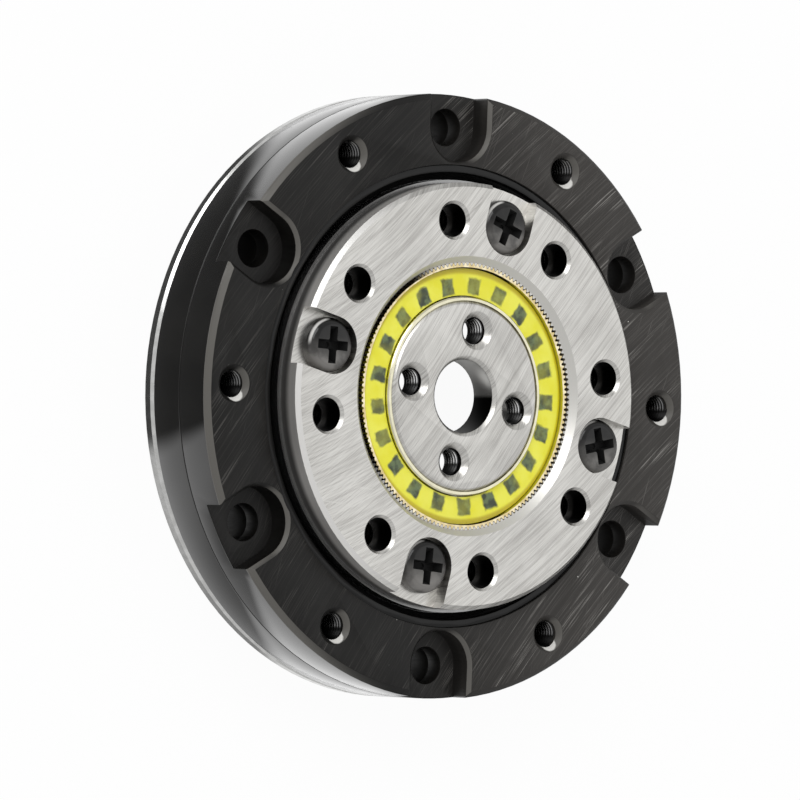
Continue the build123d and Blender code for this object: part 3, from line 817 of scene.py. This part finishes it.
# One ridge of triangular section, standing on the hole's wall and closed at both ends
def windThread(name, low, turns):
    shape = threadShape
    reach = shape["depth"] / 1.5  # a triangle of radius 1 is 1.5 high
    spread = shape["halfWidth"] / math.sin(math.radians(60))
    bpy.ops.object.select_all(action="DESELECT")
    bpy.ops.mesh.primitive_circle_add(
        vertices=3,
        radius=1.0,
        location=(shape["wall"] + shape["sink"] - reach / 2, 0, low),
        rotation=(math.pi / 2, -math.pi / 2, 0),
    )
    ridge = bpy.context.object
    ridge.name = name
    ridge.scale = (spread, reach, 1)
    bpy.ops.object.transform_apply(location=True, rotation=True, scale=True)
    applyModifier(
        ridge, "wind", "SCREW", screw_offset=shape["pitch"], iterations=turns,
        steps=shape["steps"], render_steps=shape["steps"], use_merge_vertices=False,
    )
    editAll(ridge)
    bpy.ops.mesh.fill_holes(sides=3)
    bpy.ops.mesh.select_all(action="SELECT")
    bpy.ops.mesh.normals_make_consistent(inside=False)
    bpy.ops.object.mode_set(mode="OBJECT")
    bpy.ops.object.shade_smooth_by_angle(angle=dressing["smoothAngle"])
    return ridge


# A piece goes to the first place and copies of it, each with its own mesh, to the others
def spreadCopies(first, matrices, node, shader, stands=None):
    takeLook(first, shader)
    twins = [first]
    for index in range(1, len(matrices)):
        twin = first.copy()
        twin.data = first.data.copy()
        twin.name = f"{first.name}_{index + 1}"
        bpy.context.scene.collection.objects.link(twin)
        twins.append(twin)
    for twin, matrix in zip(twins, matrices):
        twin.data.transform(matrix)
        if stands:
            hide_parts(stands)
        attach(twin, bodyOf[node])


def onCircle(circle, angle, height=0.0):
    place = Matrix.Rotation(math.radians(angle), 4, "Z")
    return place @ Matrix.Translation((circle, 0, height))


for name, thread in threadSets.items():
    ridge = windThread(name, thread["low"], thread["turns"])
    holes = thread["holes"]
    angles = [holes["first"] + 360 / holes["count"] * index for index in range(holes["count"])]
    matrices = [onCircle(holes["circle"], angle) for angle in angles]
    spreadCopies(ridge, matrices, thread["node"], thread["look"])
print("Threads wound")

# Pan-head screws with a tapered cross recess, each turned as it stands in the photograph
screwShape = {
    "headRadius": 1.31 * mm,
    "headHeight": 0.66 * mm,
    "headSides": 56,
    "round": 0.45 * mm,
    "roundSegments": 7,
    "roundProfile": 0.5,
    "shankRadius": 0.47 * mm,
    "shankLength": 2.9 * mm,
    "shankSides": 32,
    "slotLength": 2.2 * mm,
    "slotWidth": 0.56 * mm,
    "slotDepth": 0.5 * mm,
    "slotTaper": 0.6,
    "pitRadius": 0.4 * mm,
    "pitTip": 0.1 * mm,
    "pitSides": 24,
    "pitMiddle": 0.62,
    "seat": splineTop.z - 0.7 * mm,
    "places": {76.0: 192.8, 166.0: 158.6, 256.0: 177.6, 346.0: 175.0},
}


def pickVertices(piece, test):
    for part in (*piece.data.polygons, *piece.data.edges):
        part.select = False
    for vertex in piece.data.vertices:
        vertex.select = test(vertex.co)


def cutOut(piece, cutter, name):
    applyModifier(piece, name, "BOOLEAN", operation="DIFFERENCE", object=cutter, solver="EXACT")
    bpy.data.objects.remove(cutter)


def modelScrew():
    shape = screwShape
    height = shape["headHeight"]
    bpy.ops.object.select_all(action="DESELECT")
    bpy.ops.mesh.primitive_cylinder_add(
        vertices=shape["headSides"],
        radius=shape["headRadius"],
        depth=height,
        location=(0, 0, height / 2),
    )
    head = bpy.context.object
    head.name = "panScrew"
    pickVertices(head, lambda place: place.z > 0)
    bpy.ops.object.mode_set(mode="EDIT")
    bpy.ops.mesh.bevel(
        offset=shape["round"], segments=shape["roundSegments"], profile=shape["roundProfile"]
    )
    bpy.ops.object.mode_set(mode="OBJECT")
    bpy.ops.object.transform_apply(location=True, rotation=False, scale=False)
    taper = (shape["slotTaper"], shape["slotTaper"], 1)
    for angle in (0, math.pi / 2):
        bpy.ops.object.select_all(action="DESELECT")
        bpy.ops.mesh.primitive_cube_add(size=1.0, location=(0, 0, height), rotation=(0, 0, angle))
        slot = bpy.context.object
        slot.scale = (shape["slotLength"], shape["slotWidth"], 2 * shape["slotDepth"])
        bpy.ops.object.transform_apply(location=True, rotation=True, scale=True)
        pickVertices(slot, lambda place: place.z < height)
        bpy.ops.object.mode_set(mode="EDIT")
        bpy.ops.transform.resize(value=taper, center_override=(0, 0, 0))
        bpy.ops.object.mode_set(mode="OBJECT")
        cutOut(head, slot, "slot")
    bpy.ops.object.select_all(action="DESELECT")
    bpy.ops.mesh.primitive_cone_add(
        vertices=shape["pitSides"],
        radius1=shape["pitTip"],
        radius2=shape["pitRadius"],
        depth=height,
        location=(0, 0, shape["pitMiddle"] * height),
    )
    cutOut(head, bpy.context.object, "pit")
    bpy.ops.object.select_all(action="DESELECT")
    bpy.ops.mesh.primitive_cylinder_add(
        vertices=shape["shankSides"],
        radius=shape["shankRadius"],
        depth=shape["shankLength"],
        location=(0, 0, -shape["shankLength"] / 2),
    )
    shank = bpy.context.object
    bpy.ops.object.transform_apply(location=True, rotation=False, scale=False)
    activate(head)
    shank.select_set(True)
    bpy.ops.object.join()
    bpy.ops.object.shade_smooth_by_angle(angle=dressing["smoothAngle"])
    return head


screw = modelScrew()
turns = []
for place, crossTurn in screwShape["places"].items():
    seat = onCircle(holeSets["screws"]["circle"], place, screwShape["seat"])
    turns.append(seat @ Matrix.Rotation(math.radians(crossTurn - place), 4, "Z"))
spreadCopies(screw, turns, "spline_screws", looks["spline_screws"], "spline_screws")
print("Screws set")

floorGlow = {
    "size": 3.0,
    "height": -0.01 * mm,
    "colour": 0.9,
    "roughness": 0.8,
    "share": 0.95,
    "dark": 0.045,
    "bright": 1.0,
    "endReach": (11.2 * mm, 14 * mm),
    "right": 0.3,
    "rightReach": (-2 * mm, 4 * mm),
    "low": 0.6,
    "lowLightReach": (1.8 * mm, 3.2 * mm),
    "fadeReach": (5 * mm, 12 * mm, 1.0, 0.5),
}


# Plain pale floor: white to the camera, greys for glossy faces to mirror, diffuse for the rest
def floorPale():
    look = floorGlow
    pale = Shader("floorPale", Roughness=look["roughness"])
    pale.set(pale.main, "Base Color", grey(look["colour"]))
    rays = pale.nodes.new("ShaderNodeLightPath").outputs
    across, upward = pale.reach(photoRight), pale.reach(photoUp)
    downward = pale.math("MULTIPLY", upward, -1.0)
    ends = pale.ramp(pale.math("ABSOLUTE", upward), *look["endReach"])
    endGlow = pale.ramp(ends, 0.0, 1.0, look["dark"], look["bright"])
    lowGlow = pale.ramp(downward, *look["lowLightReach"], look["dark"], look["low"])
    lowGlow = pale.both(lowGlow, pale.ramp(downward, *look["fadeReach"]))
    rightGlow = pale.ramp(across, *look["rightReach"], 0.0, look["right"])
    left = pale.ramp(across, *look["rightReach"], 1.0, 0.0)
    leftGlow = pale.both(pale.math("MAXIMUM", endGlow, lowGlow), left)
    mirrored = pale.math("MAXIMUM", leftGlow, rightGlow)
    strength = pale.add("Mix", {0: rays["Is Camera Ray"], 2: mirrored, 3: 1.0})
    glow = pale.add("Emission", {"Color": grey(1.0), "Strength": strength})
    seen = pale.math("MAXIMUM", rays["Is Camera Ray"], rays["Is Glossy Ray"])
    share = pale.math("MULTIPLY", seen, look["share"])
    mixed = pale.add("MixShader", {0: share, 1: pale.main.outputs[0], 2: glow})
    pale.set(pale.nodes["Material Output"], "Surface", mixed)
    return pale


bpy.ops.object.select_all(action="DESELECT")
bpy.ops.mesh.primitive_plane_add(size=floorGlow["size"], location=(0, 0, floorGlow["height"]))
floor = bpy.context.object
floor.name = "floor"
takeLook(floor, floorPale())

studio = {"grey": 1.0, "strength": 0.7}
world = bpy.data.worlds.new("studioWorld")
bpy.context.scene.world = world
world.use_nodes = True
background = world.node_tree.nodes["Background"]
background.inputs["Color"].default_value = grey(studio["grey"])
background.inputs["Strength"].default_value = studio["strength"]

lamps = {
    "keyLamp": {"from": (-0.55, 0.75, 0.7), "distance": 0.5, "size": 0.3, "power": 0.9},
    "sideLamp": {"from": (0.8, 0.15, 1.0), "distance": 0.5, "size": 0.3, "power": 0.12},
}
for name, lamp in lamps.items():
    data = bpy.data.lights.new(name, "AREA")
    data.size = lamp["size"]
    data.energy = lamp["power"]
    light = bpy.data.objects.new(name, data)
    bpy.context.scene.collection.objects.link(light)
    way = towards(*lamp["from"])
    light.location = way * lamp["distance"]
    light.rotation_euler = way.to_track_quat("Z", "Y").to_euler()

# Camera at the photograph's angle, shifted because the axis lies right of the picture's middle
side = math.radians(view["sideAngle"])
middle = view["imageSize"] / 2
backward = towards(-math.sin(side), 0, math.cos(side))
right = photoUp.cross(backward)
cameraData = bpy.data.cameras.new("camera")
cameraData.lens = view["lens"]
cameraData.clip_start = view["clipStart"]
cameraData.shift_x = (middle - view["centreX"]) / view["imageSize"]
cameraData.shift_y = (view["centreY"] - middle) / view["imageSize"]
camera = bpy.data.objects.new("camera", cameraData)
bpy.context.scene.collection.objects.link(camera)
rotation = Matrix((right, photoUp, backward)).transposed().to_4x4()
target = Vector((0, 0, faceZ))
camera.matrix_world = Matrix.Translation(target + backward * view["distance"]) @ rotation
bpy.context.scene.camera = camera
bpy.context.scene.view_settings.view_transform = "Standard"
print("Camera, floor and lamps set")
